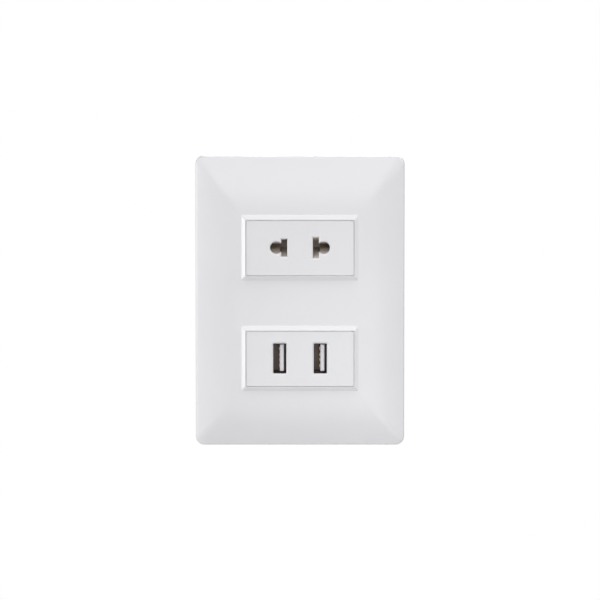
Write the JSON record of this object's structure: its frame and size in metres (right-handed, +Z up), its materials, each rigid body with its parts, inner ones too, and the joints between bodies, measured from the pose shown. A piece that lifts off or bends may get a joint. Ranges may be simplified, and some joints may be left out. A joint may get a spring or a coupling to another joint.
{
  "type": "usb wall socket",
  "caption": "White wall socket: a curved cover plate with a mains outlet for round pins or flat blades above upright USB charging ports, with screw terminals behind.",
  "frame": {"origin": "centre of the cover plate's outline, on the wall plane, midway between the two box screws", "axes": "+X to the right and +Z up as seen from the room, +Y into the wall"},
  "size_m": [0.084, 0.0438, 0.1174],
  "materials": {
    "white_gloss_plastic": "satin gloss moulded",
    "frame_plastic": "fine matte moulded",
    "housing_plastic": "fine matte moulded",
    "contact_brass": "rolled strip, slightly dulled",
    "gold_plated_brass": "thin plating on stamped strip",
    "plated_steel": "zinc plated",
    "port_shell_steel": "nickel plated sheet",
    "tongue_plastic": "moulded nylon",
    "circuit_board": "solder mask over glass fibre",
    "ferrite": "ground sintered ferrite",
    "copper_winding": "enamelled copper wire",
    "capacitor_can": "sleeved can",
    "resistor_body": "lacquered",
    "black_plastic": "moulded"
  },
  "bodies": {
    "root": {"cover_plate": "white_gloss_plastic", "socket_face": "white_gloss_plastic", "usb_face": "white_gloss_plastic", "mounting_frame": "frame_plastic", "socket_base": "housing_plastic", "usb_base": "housing_plastic", "box_screws": "plated_steel", "front_board": "circuit_board", "main_board": "circuit_board", "transformer_core": "ferrite", "transformer_bobbin": "black_plastic", "transformer_winding": "copper_winding", "input_capacitor": "capacitor_can", "output_capacitor": "capacitor_can", "fuse_resistor": "resistor_body", "bridge_rectifier": "black_plastic", "controller_chip": "black_plastic", "socket_left_contact": "contact_brass", "usb_left_terminal": "contact_brass", "usb_left_shell": "port_shell_steel", "usb_left_tongue": "tongue_plastic", "usb_left_pins": "gold_plated_brass", "socket_right_contact": "contact_brass", "usb_right_terminal": "contact_brass", "usb_right_shell": "port_shell_steel", "usb_right_tongue": "tongue_plastic", "usb_right_pins": "gold_plated_brass"},
    "socket_left_clamp": {"socket_left_clamp": "plated_steel"},
    "socket_left_screw": {"socket_left_screw": "plated_steel"},
    "socket_right_clamp": {"socket_right_clamp": "plated_steel"},
    "socket_right_screw": {"socket_right_screw": "plated_steel"},
    "usb_left_clamp": {"usb_left_clamp": "plated_steel"},
    "usb_left_screw": {"usb_left_screw": "plated_steel"},
    "usb_right_clamp": {"usb_right_clamp": "plated_steel"},
    "usb_right_screw": {"usb_right_screw": "plated_steel"}
  },
  "joints": [
    {"name": "socket_left_clamp_slide", "type": "slide", "parent": "root", "child": "socket_left_clamp", "axis": [1, 0, 0], "range_m": [0, 0.0018]},
    {"name": "socket_left_screw_turn", "type": "hinge", "parent": "socket_left_clamp", "child": "socket_left_screw", "pos_m": [-0.01795, 0.0175, 0.0225], "axis": [1, 0, 0], "range_deg": [0, 1296]},
    {"name": "socket_right_clamp_slide", "type": "slide", "parent": "root", "child": "socket_right_clamp", "axis": [-1, 0, 0], "range_m": [0, 0.0018]},
    {"name": "socket_right_screw_turn", "type": "hinge", "parent": "socket_right_clamp", "child": "socket_right_screw", "pos_m": [0.01795, 0.0175, 0.0225], "axis": [-1, 0, 0], "range_deg": [0, 1296]},
    {"name": "usb_left_clamp_slide", "type": "slide", "parent": "root", "child": "usb_left_clamp", "axis": [1, 0, 0], "range_m": [0, 0.0018]},
    {"name": "usb_left_screw_turn", "type": "hinge", "parent": "usb_left_clamp", "child": "usb_left_screw", "pos_m": [-0.01795, 0.0175, -0.0225], "axis": [1, 0, 0], "range_deg": [0, 1296]},
    {"name": "usb_right_clamp_slide", "type": "slide", "parent": "root", "child": "usb_right_clamp", "axis": [-1, 0, 0], "range_m": [0, 0.0018]},
    {"name": "usb_right_screw_turn", "type": "hinge", "parent": "usb_right_clamp", "child": "usb_right_screw", "pos_m": [0.01795, 0.0175, -0.0225], "axis": [-1, 0, 0], "range_deg": [0, 1296]}
  ],
  "couplings": [
    {"joint": "socket_left_screw_turn", "follows": "socket_left_clamp_slide", "rad_per_m": 12566},
    {"joint": "socket_right_screw_turn", "follows": "socket_right_clamp_slide", "rad_per_m": 12566},
    {"joint": "usb_left_screw_turn", "follows": "usb_left_clamp_slide", "rad_per_m": 12566},
    {"joint": "usb_right_screw_turn", "follows": "usb_right_clamp_slide", "rad_per_m": 12566}
  ]
}
